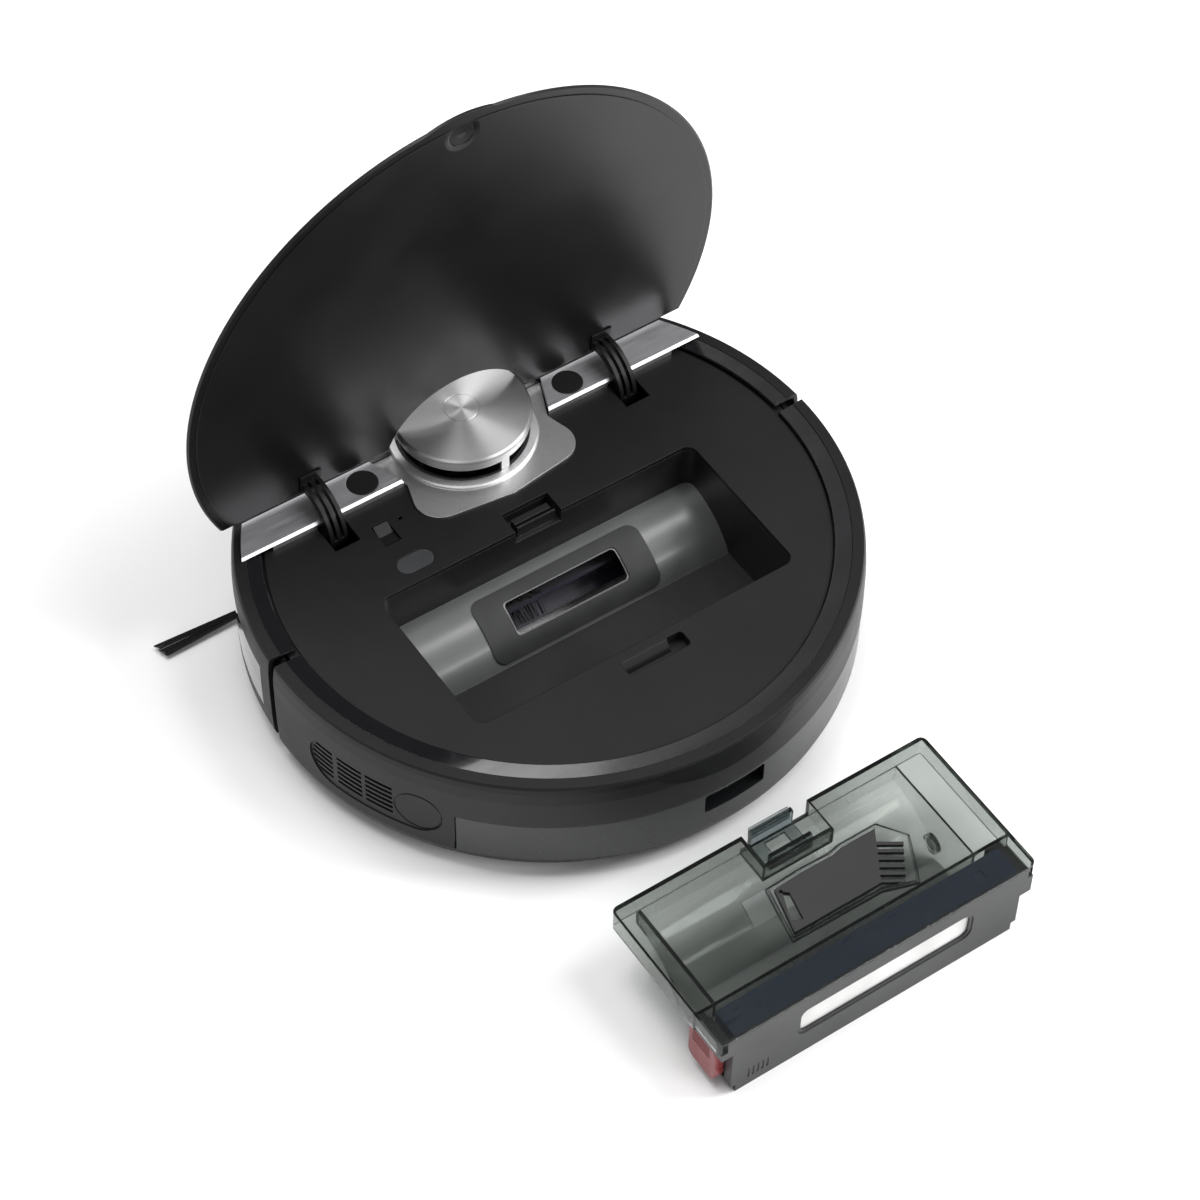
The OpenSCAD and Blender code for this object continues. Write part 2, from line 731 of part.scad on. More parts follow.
module tyre() {
  translate([0, wheel_y, wheel_r]) difference() {
    along_x(wheel_x - wheel_w / 2, wheel_x + wheel_w / 2, wheel_r, 96);
    along_x(100, 150, 29, 96);
    for (i = [0:23]) rotate([15 * i, 0, 0]) box(100, 150, -1.3, 1.3, wheel_r - 2, wheel_r + 2);
    difference() {
      along_x(wheel_x - 0.8, wheel_x + 0.8, 40, 96);
      along_x(100, 150, wheel_r - 2, 96);
    }
  }
}

module wheel_motor() {
  translate([0, -14, 42]) along_x(148.5, 163, 10);
}

module right_gearbox() color([0.20, 0.20, 0.21]) gearbox();
module left_gearbox() color([0.20, 0.20, 0.21]) mirror([1, 0, 0]) gearbox();
module right_hub() color([0.30, 0.30, 0.31]) hub();
module left_hub() color([0.30, 0.30, 0.31]) mirror([1, 0, 0]) hub();
module right_tyre() color([0.07, 0.07, 0.07]) tyre();
module left_tyre() color([0.07, 0.07, 0.07]) mirror([1, 0, 0]) tyre();
module right_wheel_motor() color([0.5, 0.5, 0.52]) wheel_motor();
module left_wheel_motor() color([0.5, 0.5, 0.52]) mirror([1, 0, 0]) wheel_motor();

// ---- front caster ----

module caster_fork() color([0.18, 0.18, 0.19]) {
  translate([0, caster_y, 0]) {
    translate([0, 0, 31]) cylinder(h = 3, r = 22);
    translate([0, 0, 33]) cylinder(h = 15, r = 5);
    difference() {
      for (x = [-11, 8.4]) box(x, x + 2.6, -14, 6, 9, 31.5);
      box(-20, 20, -20, -10, 20, 28);
    }
    translate([0, -6, 14]) along_x(-10.9, 10.9, 2, 32);
  }
}

module caster_wheel() color([0.55, 0.55, 0.56]) {
  translate([0, caster_y - 6, 14]) difference() {
    along_x(-7.4, 7.4, 14);
    along_x(-10, 10, 2.05, 32);
    for (x = [-8, 5]) difference() {
      along_x(x, x + 3, 11);
      along_x(x - 1, x + 4, 5);
    }
  }
}

// ---- switches and buttons ----

module power_switch() color([0.35, 0.35, 0.36]) {
  translate([-74, 50, 74]) difference() {
    side_solid(-4.6, 4.6)
      polygon([[-6.8, 1.2], [0, 0.2], [6.8, 3], [6.6, -1], [2, -4.2], [-2, -4.2], [-6.6, -2.6]]);
    translate([0, 0, -2]) along_x(-6, 6, 1.05, 32);
  }
}

module reset_button() color([0.20, 0.20, 0.21]) {
  translate([-71, 24.5, 0]) {
    translate([0, 0, 73.2]) linear_extrude(2.5) oval(-11, 11, -6, 6);
    translate([0, 0, 68]) cylinder(h = 6, r = 3, $fn = 32);
  }
}

module top_button(x) {
  translate([x, 143, 0]) {
    translate([0, 0, 77.6]) cylinder(h = 3.3, r = 6, $fn = 64);
    translate([0, 0, 77.2]) cylinder(h = 0.9, r = 7, $fn = 64);
  }
}

module start_button() color([0.30, 0.30, 0.31]) top_button(-22);
module home_button() color([0.30, 0.30, 0.31]) top_button(22);

// ---- water tank ----

module tank_block(r, w, y, z0, z1) {
  intersection() {
    translate([0, 0, z0]) cylinder(h = z1 - z0, r = r, $fn = 180);
    box(-w, w, -200, y, 0, 100);
  }
}

module water_tank() color([0.07, 0.08, 0.085]) {
  difference() {
    tank_block(174.7, tank_w, -106, tank_z0, tank_z1);
    difference() {
      tank_block(172.4, tank_w - 2.3, -108, tank_z0 + 2.2, tank_z1 - 2.2);
      box(-19, 27, -200, -160, 0, 100);
      box(-70, -66, -200, 0, 0, 100);
    }
    // grip recess and the pocket for its button
    soft_grip(9.5);
    box(-9.3, 17.3, -170, -161.6, 38.3, 42.3);
    // filler
    translate([60, -130, 30]) cylinder(h = 30, r = 6);
  }
  difference() {
    translate([60, -130, 43]) cylinder(h = 2.9, r = 6.2);
    translate([60, -130, 44.8]) cylinder(h = 2.9, r = 3.5);
  }
}

module soft_grip(d) {
  translate([0, -180, 0]) rotate([-90, 0, 0]) translate([0, 0, 0])
    linear_extrude(d + 6) rounded(-15.5, 23.5, -44.4, -29.6, 2);
}

module tank_button() color([0.14, 0.15, 0.16]) {
  box(-9, 17, -166.6, -163.8, 38.6, 42);
}

// ---- dust box, drawn in the bay and then set on the floor ----

module tub_side(r) {
  difference() {
    polygon([[-57.9, seat_z], [10.4, seat_z], [10.4, 60], [-57.9, 60]]);
    translate([arc_y, arc_z]) circle(r, $fn = 128);
  }
}

module tub_inside(r) {
  difference() {
    polygon([[-70, seat_z + 1.8], [8.6, seat_z + 1.8], [8.6, 90], [-70, 90]]);
    translate([arc_y, arc_z]) circle(r + 1.8, $fn = 128);
  }
}

// Clear part of the dust box, over the brush cover.
module bin_tub() color([0.33, 0.36, 0.37, 0.45]) on_floor() {
  difference() {
    union() {
      side_solid(-84, 84) tub_side(arc_r + 1.7);
      soft_box(-box_w + 0.8, box_w - 0.8, -57.9, 10.2, 58.3, 60, 3);
    }
    side_solid(-82.2, 82.2) tub_inside(arc_r + 1.7);
    // inlet
    translate([0, arc_y, arc_z]) rotate([32, 0, 0]) box(-30, 36, -7.5, 7.5, 40, 52);
    // magnet pocket
    translate([0, magnet_y + carry, magnet_z + seat_z]) along_x(80, 83.2, 4.05, 48);
  }
  intersection() {
    difference() {
      translate([0, magnet_y + carry, magnet_z + seat_z]) along_x(79.4, 83, 6, 48);
      translate([0, magnet_y + carry, magnet_z + seat_z]) along_x(79, 83.2, 4.05, 48);
    }
    box(-200, 200, -60, 20, 0, 60);
  }
}

// Dark part of the dust box, around the filter.
module bin_frame() color([0.16, 0.165, 0.17]) on_floor() {
  difference() {
    union() {
      box(-tub_w + 3, tub_w - 3, -88, -58, seat_z, 60);
      box(-tub_w, tub_w, -88, -58, seat_z + 6, 60);
      box(-box_w + 1.4, box_w - 1.4, -88, -58, 58.3, 60);
      box(-box_w + 1.4, box_w - 1.4, -88, -65.9, 58.3, 64);
      box(-box_w + 5, box_w - 5, -88, -86, 60, 71.9);
      box(tub_w - 1, box_w - 1.4, -88, -74, 50, 62);
    }
    box(-tub_w + 1.8, tub_w - 1.8, -86, -50, seat_z + 1.8, 90);
    // filter window with a shallow step around it
    translate([0, -85, 0]) rotate([90, 0, 0]) linear_extrude(8) rounded(-49, 59, 40.6, 59.4, 5);
    translate([0, -87.4, 0]) rotate([90, 0, 0]) linear_extrude(8) rounded(-51, 61, 38.8, 61, 6.5);
    // pocket behind the red latch
    box(-tub_w - 1, -tub_w + 1.2, -81.8, -58.7, 29.2, 58.1);
    // pressing marks
    for (i = [0:4]) box(-82 + 3 * i, -80.6 + 3 * i, -89, -87.6, 28, 36);
  }
}

module bin_magnet() color([0.75, 0.75, 0.76]) {
  translate([0, magnet_y, magnet_z]) along_x(80, 83, 4, 48);
}

module bin_cover() color([0.33, 0.36, 0.37, 0.45]) on_floor() {
  difference() {
    union() {
      soft_box(-box_w, box_w, -65.8, 10.4, 60.1, 74, 4);
      soft_box(-box_w, box_w, -88, 10.4, 64.1, 74, 4);
      box(-box_w, box_w, -65.8, -30, 60.1, 66);
    }
    box(-box_w + 1.8, box_w - 1.8, -64, 8.6, 50, 72.2);
    box(-box_w + 1.8, box_w - 1.8, -90, -65.8, 50, 72.2);
    // clip bay at the front edge
    box(-18, 24, -10.4, 20, 61.8, 90);
    tool_outline(70.5, 90, 1.4);
  }
  difference() {
    box(-19.6, 25.6, -12, 10.4, 60.2, 74);
    box(-18, 24, -10.4, 20, 61.8, 90);
  }
  // tray for the cleaning tool
  difference() {
    tool_outline(69.6, 73.9, 2.8);
    tool_outline(70.9, 90, 1.4);
  }
}

module tool_outline(z0, z1, g) {
  translate([0, 0, z0]) linear_extrude(z1 - z0)
    polygon([[-23.5 - g, -25.5 + g], [-6, -24.5 + g], [14, -25 + g], [21, -23.6 + g], [43 + g, -23.6 + g],
      [53.6 + g, -36.5], [40.6 + g, -60.4 - g], [24, -54 - g], [-30 - g, -53.4 - g]]);
}

module bin_clip() color([0.26, 0.30, 0.32, 0.6]) on_floor() {
  difference() {
    union() {
      box(-13, 14, -8.6, -6.2, 62, 73.4);
      box(-13, 14, -8.6, 11.2, 61.9, 63.8);
      box(-13, 14, 8.4, 11.2, 62, 74.6);
      for (i = [0:2]) box(-12, 13, 11, 12.8, 67.2 + 2.6 * i, 68.5 + 2.6 * i);
    }
    box(-6, 7, -4, 6, 60, 66);
  }
}

module bin_latch() color([0.62, 0.05, 0.07]) on_floor() {
  difference() {
    translate([-tub_w - 6.4, 0, 0]) rotate([90, 0, 90]) linear_extrude(6) rounded(-81.5, -59, 29.5, 57.8, 5);
    for (i = [0:3]) box(-tub_w - 8, -tub_w - 5.6, -77, -62, 46 + 2.6 * i, 47.2 + 2.6 * i);
  }
}

module bin_filter() color([0.10, 0.13, 0.19]) on_floor() {
  difference() {
    box(-tub_w + 2.2, tub_w - 2.2, -85.7, -68.3, 22.9, 71.4);
    box(-52, 62, -90, -66, 38.6, 61.2);
    // round mark on the top
    translate([4, -77, 71]) cylinder(h = 5, r = 4.4, $fn = 40);
    box(-70, -66, -80, -74, 71, 80);
    box(70, 74, -80, -74, 71, 80);
  }
  box(-52, 62, -70.2, -68.3, 38.6, 61.2);
}

module filter_media() color([0.9, 0.9, 0.88]) on_floor() {
  difference() {
    box(-51.9, 61.9, -85.7, -70.4, 38.7, 61.1);
    for (x = [-49:4:59]) box(x, x + 1.6, -83, -70, 30, 70);
  }
}

module cleaning_tool() color([0.08, 0.08, 0.085]) on_floor() {
  difference() {
    translate([0, 0, 71]) linear_extrude(3)
      polygon([[-23, -26], [-6, -25], [14, -25.4], [21, -24], [43, -24], [25.5, -53], [-29.5, -53]]);
    // ribbon cutter and hanging hole
    translate([0, 0, 70]) linear_extrude(10)
      polygon([[-20.5, -29.5], [-17.5, -32], [-21, -49], [-27, -46]]);
    translate([-21, -29, 70]) cylinder(h = 10, r = 1.1, $fn = 24);
  }
  // rows of stiff bristles
  for (i = [0:5])
    translate([36.6 - 2.6 * i, -31.8 - 3.9 * i, 71.3]) rotate([0, 0, -33]) cube([15.6, 2, 2.2]);
}

base_plate();
inner_frame();
bay_frame();
rear_shell();
rim_trim();
top_deck();
front_cover();
hinge_bar();
bar_caps();
turret_base();
turret_cap();
lidar_base();
lidar_rotor();
inlet_seal();
air_duct();
fan_housing();
fan_impeller();
battery_pack();
main_board();
brush_frame();
brush_gearboxes();
brush_motor();
main_brush_core();
main_brush_fins();
side_brush_hub();
side_brush_bristles();
cliff_windows();
charge_contacts();
screws_and_pins();
lid_panel();
lid_liner();
lid_arms();
bumper_shell();
bumper_window();
left_gearbox();
left_wheel_motor();
left_hub();
left_tyre();
right_gearbox();
right_wheel_motor();
right_hub();
right_tyre();
caster_fork();
caster_wheel();
power_switch();
reset_button();
start_button();
home_button();
water_tank();
tank_button();
pump_motor();
bin_magnet();
bin_tub();
bin_frame();
bin_cover();
bin_clip();
bin_latch();
bin_filter();
filter_media();
cleaning_tool();
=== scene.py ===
import math
import random

import bpy
from mathutils import Matrix, Vector


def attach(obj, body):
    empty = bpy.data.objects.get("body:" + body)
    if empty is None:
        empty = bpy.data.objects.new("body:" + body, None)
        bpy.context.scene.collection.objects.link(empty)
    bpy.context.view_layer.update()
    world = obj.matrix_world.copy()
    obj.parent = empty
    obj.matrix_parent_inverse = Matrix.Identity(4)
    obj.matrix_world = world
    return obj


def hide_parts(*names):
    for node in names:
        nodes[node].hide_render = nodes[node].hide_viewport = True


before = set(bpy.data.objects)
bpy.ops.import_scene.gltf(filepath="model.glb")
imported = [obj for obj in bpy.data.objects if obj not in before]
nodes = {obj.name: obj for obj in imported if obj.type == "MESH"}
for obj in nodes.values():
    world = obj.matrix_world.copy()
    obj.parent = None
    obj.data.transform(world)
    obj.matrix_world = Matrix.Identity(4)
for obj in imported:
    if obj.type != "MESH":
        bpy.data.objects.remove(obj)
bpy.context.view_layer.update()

# ---------------------------------------------------------------- camera

AZIMUTH = math.radians(-34.547)
ELEVATION = math.radians(51.568)
ROLL = math.radians(0.87)
DISTANCE = 1.919238
AIM = Vector((0, 0, 0.040))
# how far the camera stands beside and above the line that ends at AIM
SHIFT_RIGHT = 0.0283154
SHIFT_UP = -0.0135998
LENS_MM = 103.35678
SENSOR_MM = 36

back = Vector((math.sin(AZIMUTH) * math.cos(ELEVATION), -math.cos(AZIMUTH) * math.cos(ELEVATION),
               math.sin(ELEVATION)))
level_right = Vector((math.cos(AZIMUTH), math.sin(AZIMUTH), 0))
level_up = back.cross(level_right)
right = math.cos(ROLL) * level_right + math.sin(ROLL) * level_up
up = -math.sin(ROLL) * level_right + math.cos(ROLL) * level_up
cam_data = bpy.data.cameras.new("camera")
cam_data.sensor_fit = "HORIZONTAL"
cam_data.sensor_width = SENSOR_MM
cam_data.lens = LENS_MM
cam_data.clip_start = 0.05
cam_data.clip_end = 30
camera = bpy.data.objects.new("camera", cam_data)
bpy.context.scene.collection.objects.link(camera)
place = AIM + back * DISTANCE + right * SHIFT_RIGHT + up * SHIFT_UP
turn = Matrix((right, up, back)).transposed()
camera.matrix_world = Matrix.Translation(place) @ turn.to_4x4()
bpy.context.scene.camera = camera
bpy.context.scene.view_settings.view_transform = "Standard"

# ------------------------------------------------------------- materials


class Mat:
    """A procedural material: base colour, mottling, fine grain and softened edges."""

    def __init__(self, name, color, rough, metal=0.0, coat=0.0, coat_rough=0.05, spec=0.5,
                 ior=1.46, transmission=0.0, aniso=0.0, sheen=0.0):
        self.m = bpy.data.materials.new(name)
        self.m.use_nodes = True
        self.nt = self.m.node_tree
        self.bsdf = self.nt.nodes["Principled BSDF"]
        s = self.bsdf.inputs
        s["Base Color"].default_value = (*color, 1)
        s["Roughness"].default_value = rough
        s["Metallic"].default_value = metal
        s["Coat Weight"].default_value = coat
        s["Coat Roughness"].default_value = coat_rough
        s["Specular IOR Level"].default_value = spec
        s["IOR"].default_value = ior
        s["Transmission Weight"].default_value = transmission
        s["Anisotropic"].default_value = aniso
        s["Sheen Weight"].default_value = sheen
        self.color = color
        self.coord = self.nt.nodes.new("ShaderNodeTexCoord").outputs["Object"]
        self.normal = None

    def node(self, kind, **settings):
        n = self.nt.nodes.new(kind)
        for k, v in settings.items():
            setattr(n, k, v)
        return n

    def link(self, a, b):
        self.nt.links.new(a, b)

    def stretch(self, scale):
        """The object's coordinates, scaled by a different amount along each axis."""
        n = self.node("ShaderNodeMapping")
        n.inputs["Scale"].default_value = scale
        self.link(self.coord, n.inputs["Vector"])
        return n.outputs["Vector"]

    def noise(self, scale, detail=3.0, rough=0.55, vector=None):
        n = self.node("ShaderNodeTexNoise")
        n.inputs["Scale"].default_value = scale
        n.inputs["Detail"].default_value = detail
        n.inputs["Roughness"].default_value = rough
        self.link(vector or self.coord, n.inputs["Vector"])
        return n.outputs["Fac"]

    def ramp(self, fac, low, high, lo=0.3, hi=0.7):
        """Maps the lo..hi part of a noise to low..high."""
        n = self.node("ShaderNodeMapRange")
        n.inputs["From Min"].default_value = lo
        n.inputs["From Max"].default_value = hi
        n.inputs["To Min"].default_value = low
        n.inputs["To Max"].default_value = high
        self.link(fac, n.inputs["Value"])
        return n.outputs["Result"]

    def colours(self, fac, a, b, lo=0.3, hi=0.7):
        """Base colour that runs from a to b with the noise."""
        n = self.node("ShaderNodeValToRGB")
        n.color_ramp.elements[0].position = lo
        n.color_ramp.elements[0].color = (*a, 1)
        n.color_ramp.elements[1].position = hi
        n.color_ramp.elements[1].color = (*b, 1)
        self.link(fac, n.inputs["Fac"])
        self.link(n.outputs["Color"], self.bsdf.inputs["Base Color"])

    def mottle(self, scale, amount):
        """Makes the colour a little lighter and darker in patches."""
        c = self.color
        f = self.noise(scale, 2.0)
        self.colours(f, [v * (1 - amount) for v in c], [min(1, v * (1 + amount)) for v in c])

    def rough_range(self, fac, low, high, lo=0.3, hi=0.7):
        self.link(self.ramp(fac, low, high, lo, hi), self.bsdf.inputs["Roughness"])

    def bump(self, height, strength, distance):
        """Adds fine relief on top of whatever normal is already there."""
        n = self.node("ShaderNodeBump")
        n.inputs["Strength"].default_value = strength
        n.inputs["Distance"].default_value = distance
        self.link(height, n.inputs["Height"])
        if self.normal is not None:
            self.link(self.normal, n.inputs["Normal"])
        self.normal = n.outputs["Normal"]
        self.link(self.normal, self.bsdf.inputs["Normal"])

    def soften(self, radius, flat=False):
        """Rounds edges in the shading; flat starts from the face's own normal."""
        n = self.node("ShaderNodeBevel")
        n.samples = 4
        n.inputs["Radius"].default_value = radius
        if flat:
            self.link(self.node("ShaderNodeNewGeometry").outputs["True Normal"], n.inputs["Normal"])
        self.normal = n.outputs["Normal"]
        self.link(self.normal, self.bsdf.inputs["Normal"])


def moulded(name, color, rough, grain=1400.0, depth=0.00004, spread=0.05, edge=0.0005,
             flat=False, **kw):
    """Moulded plastic: spark-eroded grain, faint flow marks and rubbed patches."""
    m = Mat(name, color, rough, **kw)
    if edge:
        m.soften(edge, flat)
    m.mottle(38.0, 0.10)
    wear = m.noise(16.0, 4.0, 0.6)
    m.rough_range(wear, max(0.02, rough - spread), rough + spread)
    m.bump(m.noise(grain, 2.0, 0.5), 0.35, depth)
    return m.m


def glossy(name, color, rough, coat):
    """Polished plastic: tiny orange peel and faint wiping marks."""
    m = Mat(name, color, rough, coat=coat, coat_rough=0.03)
    m.soften(0.0005)
    m.mottle(20.0, 0.06)
    smear = m.noise(1.0, 5.0, 0.62, m.stretch((9.0, 60.0, 30.0)))
    m.rough_range(smear, rough * 0.75, rough * 1.4)
    m.bump(m.noise(260.0, 1.0), 0.12, 0.00004)
    return m.m


def rubber(name, color, rough, edge=0.0004):
    """Rubber or nylon: dull, mottled and finely pitted."""
    m = Mat(name, color, rough, spec=0.35, sheen=0.15)
    if edge:
        m.soften(edge)
    m.mottle(60.0, 0.14)
    m.rough_range(m.noise(45.0, 3.0), rough - 0.08, rough + 0.1)
    m.bump(m.noise(2400.0, 2.0), 0.4, 0.00005)
    return m.m


def brushed(name, color, rough, stretch):
    """Straight brushed metal: fine scratches that run along the least stretched axis."""
    m = Mat(name, color, rough, metal=1.0)
    m.soften(0.0003)
    lines = m.noise(1.0, 3.0, 0.7, m.stretch(stretch))
    c = m.color
    m.colours(lines, [v * 0.80 for v in c], [min(1, v * 1.15) for v in c])
    m.rough_range(lines, rough - 0.08, rough + 0.10)
    m.bump(lines, 0.25, 0.00003)
    return m.m


def turned(name, color, rough, cx, cy):
    """Turned metal: grooves round the vertical axis at cx, cy, with the light fans they give."""
    m = Mat(name, color, rough, metal=1.0, aniso=0.85)
    m.soften(0.0003)
    sub = m.node("ShaderNodeVectorMath", operation="SUBTRACT")
    sub.inputs[1].default_value = (cx, cy, 0)
    m.link(m.coord, sub.inputs[0])
    flat = m.node("ShaderNodeVectorMath", operation="MULTIPLY")
    flat.inputs[1].default_value = (1, 1, 0)
    m.link(sub.outputs[0], flat.inputs[0])
    length = m.node("ShaderNodeVectorMath", operation="LENGTH")
    m.link(flat.outputs[0], length.inputs[0])
    comb = m.node("ShaderNodeCombineXYZ")
    m.link(length.outputs["Value"], comb.inputs["X"])
    rings = m.noise(2600.0, 2.0, 0.6, comb.outputs[0])
    c = m.color
    m.colours(rings, [v * 0.86 for v in c], [min(1, v * 1.1) for v in c])
    m.rough_range(rings, rough - 0.05, rough + 0.06)
    m.bump(rings, 0.22, 0.00003)
    cross = m.node("ShaderNodeVectorMath", operation="CROSS_PRODUCT")
    cross.inputs[0].default_value = (0, 0, 1)
    m.link(flat.outputs[0], cross.inputs[1])
    norm = m.node("ShaderNodeVectorMath", operation="NORMALIZE")
    m.link(cross.outputs[0], norm.inputs[0])
    m.link(norm.outputs[0], m.bsdf.inputs["Tangent"])
    # a quarter turn sets the rough direction across the grooves
    m.bsdf.inputs["Anisotropic Rotation"].default_value = 0.25
    return m.m


def clear(name, tint, density, rough):
    """Smoky clear moulding: tint that deepens with thickness, and faint scuffs."""
    m = Mat(name, (0.94, 0.95, 0.94), rough, ior=1.35, transmission=1.0)
    m.soften(0.0004)
    scuff = m.noise(1.0, 6.0, 0.7, m.stretch((60.0, 14.0, 40.0)))
    m.rough_range(scuff, rough, rough + 0.05, 0.45, 0.75)
    m.bump(m.noise(120.0, 1.0), 0.05, 0.00005)
    fog = m.node("ShaderNodeVolumeAbsorption")
    fog.inputs["Color"].default_value = (*tint, 1)
    fog.inputs["Density"].default_value = density
    m.link(fog.outputs[0], m.nt.nodes["Material Output"].inputs["Volume"])
    return m.m


TURRET_Y = 0.089
lid_finish = {"color": (0.005, 0.005, 0.0055), "rough": 0.33, "grain": 2200.0, "depth": 0.00002, "spec": 0.42}

M = {
    "shell": moulded("shell_black", (0.006, 0.006, 0.0064), 0.42, spec=0.28),
    "deck": moulded("deck_black", (0.0046, 0.0046, 0.0049), 0.46, grain=1800.0, spec=0.32, edge=0.0007),
    "gloss": glossy("gloss_black", (0.004, 0.004, 0.005), 0.07, coat=0.6),
    "lid": moulded("lid_black", **lid_finish),
    "lid_top": moulded("lid_top", flat=True, **lid_finish),
    "inner": moulded("inner_grey", (0.03, 0.031, 0.033), 0.40),
    "arc": moulded("arc_satin", (0.085, 0.087, 0.088), 0.33, spread=0.03, coat=0.3, coat_rough=0.2),
    "frame": moulded("bay_black", (0.008, 0.008, 0.0085), 0.36),
    "seal": rubber("seal_rubber", (0.0145, 0.0150, 0.0155), 0.5),
    "bar": brushed("bar_metal", (0.60, 0.60, 0.62), 0.42, (30.0, 2500.0, 2500.0)),
    "ring": brushed("base_metal", (0.62, 0.62, 0.625), 0.36, (2600.0, 2600.0, 2600.0)),
    "cap": turned("cap_metal", (0.52, 0.52, 0.52), 0.42, 0.0, TURRET_Y),
    "steel": brushed("steel", (0.5, 0.5, 0.51), 0.35, (40.0, 900.0, 900.0)),
    "contact": brushed("contact_metal", (0.72, 0.60, 0.38), 0.3, (900.0, 60.0, 900.0)),
    "tyre": rubber("tyre_rubber", (0.018, 0.018, 0.018), 0.7),
    "bristle": rubber("bristle_nylon", (0.012, 0.012, 0.013), 0.5, edge=0),
    "fins": rubber("fin_rubber", (0.010, 0.010, 0.022), 0.45),
    "board": moulded("board_green", (0.012, 0.07, 0.035), 0.35),
    "wrap": moulded("cell_wrap", (0.05, 0.08, 0.14), 0.35),
    "window": glossy("sensor_window", (0.004, 0.004, 0.005), 0.10, coat=0.8),
    "button": moulded("grey_button", (0.03, 0.031, 0.033), 0.42),
    "clear": clear("smoky_clear", (0.26, 0.305, 0.275), 300, 0.03),
    "clip": clear("smoky_clip", (0.18, 0.28, 0.30), 420, 0.05),
    "tub": moulded("tub_grey", (0.022, 0.023, 0.025), 0.40),
    "blue": glossy("filter_blue", (0.015, 0.028, 0.058), 0.3, coat=0.2),
    "paper": moulded("filter_paper", (0.72, 0.72, 0.71), 0.85, grain=900.0, depth=0.0001, edge=0),
    "red": glossy("latch_red", (0.20, 0.004, 0.008), 0.28, coat=0.2),
    "tank": moulded("tank_smoke", (0.0055, 0.0065, 0.007), 0.28, spec=0.4, coat=0.2, coat_rough=0.15),
    "tool": moulded("tool_black", (0.011, 0.011, 0.0115), 0.5),
}

use = {
    "base_plate": "deck", "inner_frame": "deck", "bay_frame": "frame", "rear_shell": "shell",
    "rim_trim": "gloss", "top_deck": "deck", "front_cover": "gloss", "hinge_bar": "bar",
    "bar_caps": "shell", "turret_base": "ring", "turret_cap": "cap", "lidar_base": "shell",
    "lidar_rotor": "gloss", "inlet_seal": "seal", "air_duct": "inner", "fan_housing": "inner",
    "fan_impeller": "button", "battery_pack": "wrap", "main_board": "board", "brush_frame": "inner",
    "brush_gearboxes": "inner", "brush_motor": "steel", "main_brush_core": "inner",
    "main_brush_fins": "fins", "side_brush_hub": "shell", "side_brush_bristles": "bristle",
    "cliff_windows": "window", "charge_contacts": "contact", "screws_and_pins": "steel",
    "lid_panel": "lid", "lid_liner": "lid", "lid_arms": "shell", "bumper_shell": "shell",
    "bumper_window": "window", "left_gearbox": "inner", "left_wheel_motor": "steel",
    "left_hub": "inner", "left_tyre": "tyre", "right_gearbox": "inner",
    "right_wheel_motor": "steel", "right_hub": "inner", "right_tyre": "tyre",
    "caster_fork": "inner", "caster_wheel": "button", "power_switch": "shell",
    "reset_button": "button", "start_button": "button", "home_button": "button",
    "water_tank": "tank", "tank_button": "button", "pump_motor": "steel", "bin_magnet": "steel",
    "bin_tub": "clear", "bin_frame": "tub", "bin_cover": "clear", "bin_clip": "clip",
    "bin_latch": "red", "bin_filter": "blue", "filter_media": "paper", "cleaning_tool": "tool",
}


# axis and radius of the curved brush cover in the bay, and radius inside which the bumper is polished
COVER_Y, COVER_Z, COVER_R = 0.0104, 0.0003, 0.0447
LIP_R = 0.1663


def on_brush_cover(c, n):
    return abs(n.x) < 0.1 and n.z > 0.05 and abs(math.hypot(c.y - COVER_Y, c.z - COVER_Z) - COVER_R) < 0.0006


def on_bumper_lip(c, n):
    return n.z > 0.5 and math.hypot(c.x, c.y) < LIP_R


def on_lid_outside(c, n):
    """At rest the lid stands open, so its outer face looks to the front."""
    return n.y > 0.99


def dress(obj, mat):
    obj.data.materials.clear()
    obj.data.materials.append(mat)


def dress_faces(obj, mat, rule):
    """Gives the faces that the rule picks, by centre and normal, a second material."""
    obj.data.materials.append(mat)
    for face in obj.data.polygons:
        if rule(face.center, face.normal):
            face.material_index = 1


for name, key in use.items():
    dress(nodes[name], M[key])
dress_faces(nodes["bay_frame"], M["arc"], on_brush_cover)
dress_faces(nodes["lid_panel"], M["lid_top"], on_lid_outside)
dress_faces(nodes["bumper_shell"], M["gloss"], on_bumper_lip)


# ------------------------------------------------------------ fine pieces


def strands(name, roots, body, mat, replaced=None):
    """Bristles: one tapered three-sided strand for each (root, tip, root radius, tip radius)."""
    verts, faces = [], []
    for a, b, ra, rb in roots:
        a, b = Vector(a), Vector(b)
        d = (b - a).normalized()
        side = d.orthogonal().normalized()
        other = d.cross(side)
        base = len(verts)
        mid = (a + b) / 2
        for p, r in ((a, ra), (mid, (ra + rb) / 2), (b, rb)):
            for k in range(3):
                t = 2 * math.pi * k / 3
                verts.append(p + r * (math.cos(t) * side + math.sin(t) * other))
        for ring in (0, 3):
            for k in range(3):
                k2 = (k + 1) % 3
                faces.append((base + ring + k, base + ring + k2, base + ring + 3 + k2, base + ring + 3 + k))
        # the two ends
        faces.append((base + 2, base + 1, base))
        faces.append((base + 6, base + 7, base + 8))
    mesh = bpy.data.meshes.new(name)
    mesh.from_pydata(verts, [], faces)
    mesh.materials.append(mat)
    obj = bpy.data.objects.new(name, mesh)
    bpy.context.scene.collection.objects.link(obj)
    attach(obj, body)
    if replaced:
        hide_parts(replaced)


rng = random.Random(7)

